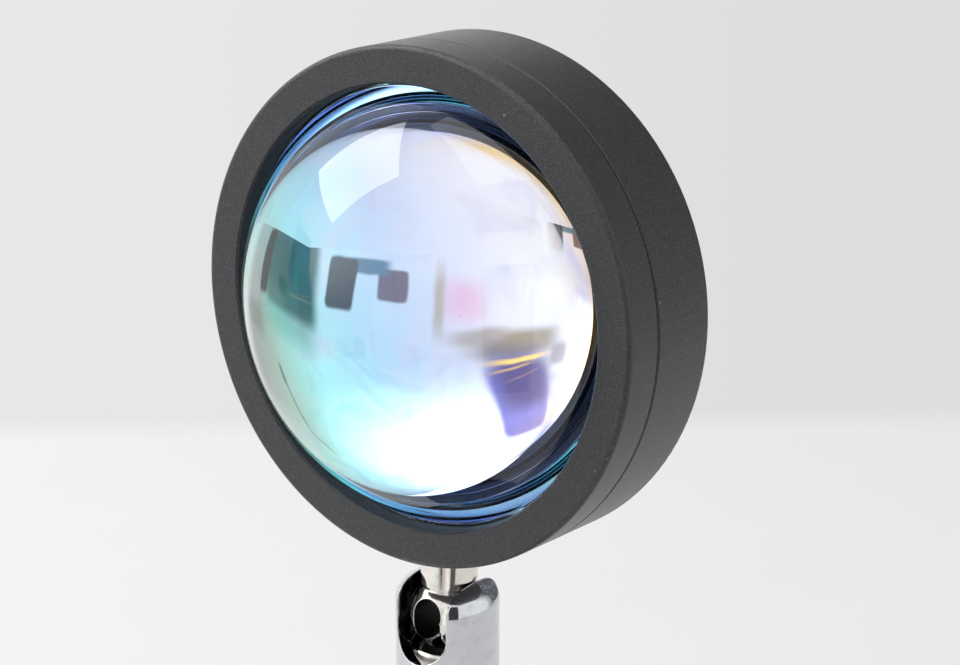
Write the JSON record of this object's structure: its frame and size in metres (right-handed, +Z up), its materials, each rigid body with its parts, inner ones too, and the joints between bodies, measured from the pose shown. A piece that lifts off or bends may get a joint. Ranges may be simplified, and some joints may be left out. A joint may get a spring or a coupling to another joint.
{
  "type": "sunset projection lamp",
  "caption": "Table lamp that throws a round coloured glow: a drum head with a domed glass lens on a ball swivel, a slim stem and a weighted round base.",
  "frame": {"origin": "centre of the underside of the base, on the surface the lamp stands on", "axes": "+Z up the stem, the lamp shines towards -Y, X is the axis the head tilts about"},
  "size_m": [0.105, 0.1063, 0.2648],
  "materials": {
    "head_paint": "fine textured matt black paint",
    "lens_glass": "clear polished glass",
    "rubber": "soft matt black",
    "black_plastic": "moulded matt black",
    "filter_coating": "interference coating, mint to blue to violet",
    "white_plastic": "moulded satin white",
    "small_glass": "clear polished glass",
    "board_aluminium": "white-masked aluminium board",
    "led_phosphor": "yellow phosphor dome",
    "grey_silicone": "soft matt grey",
    "zinc_steel": "zinc plated, satin",
    "nickel": "polished nickel, slightly warm",
    "chrome": "polished chrome",
    "brass": "machined",
    "spring_steel": "blued spring steel",
    "stem_paint": "satin black paint",
    "base_paint": "fine textured matt black paint",
    "cast_iron": "rough cast, dark primer",
    "foam_rubber": "matt closed-cell foam"
  },
  "bodies": {
    "root": {"swivel_body": "chrome", "ball_seat": "nickel", "disc_springs": "spring_steel", "tension_plug": "brass", "stem_tube": "stem_paint", "stem_rod": "zinc_steel", "base_cover": "base_paint", "base_weight": "cast_iron", "base_washer": "zinc_steel", "base_nut": "zinc_steel", "base_pad": "foam_rubber", "cable_grommet": "rubber"},
    "swivel_ball": {"ball_stud": "nickel"},
    "head": {"bezel_ring": "head_paint", "rear_housing": "head_paint", "lens": "lens_glass", "lens_gasket": "rubber", "filter_frame": "black_plastic", "color_filter": "filter_coating", "light_shroud": "black_plastic", "condenser_holder": "white_plastic", "condenser_lens": "small_glass", "led_board": "board_aluminium", "led_emitter": "led_phosphor", "thermal_pad": "grey_silicone", "board_screws": "zinc_steel", "stud_lock_washer": "zinc_steel", "stud_lock_nut": "zinc_steel"}
  },
  "joints": [
    {"name": "head_tilt", "type": "hinge", "parent": "root", "child": "swivel_ball", "pos_m": [0, 0, 0.16], "axis": [1, 0, 0], "range_deg": [-84, 92]},
    {"name": "head_spin", "type": "hinge", "parent": "swivel_ball", "child": "head", "pos_m": [0, 0, 0.16], "axis": [0, 0.0732, 0.9973], "range_deg": [-170, 170]}
  ]
}
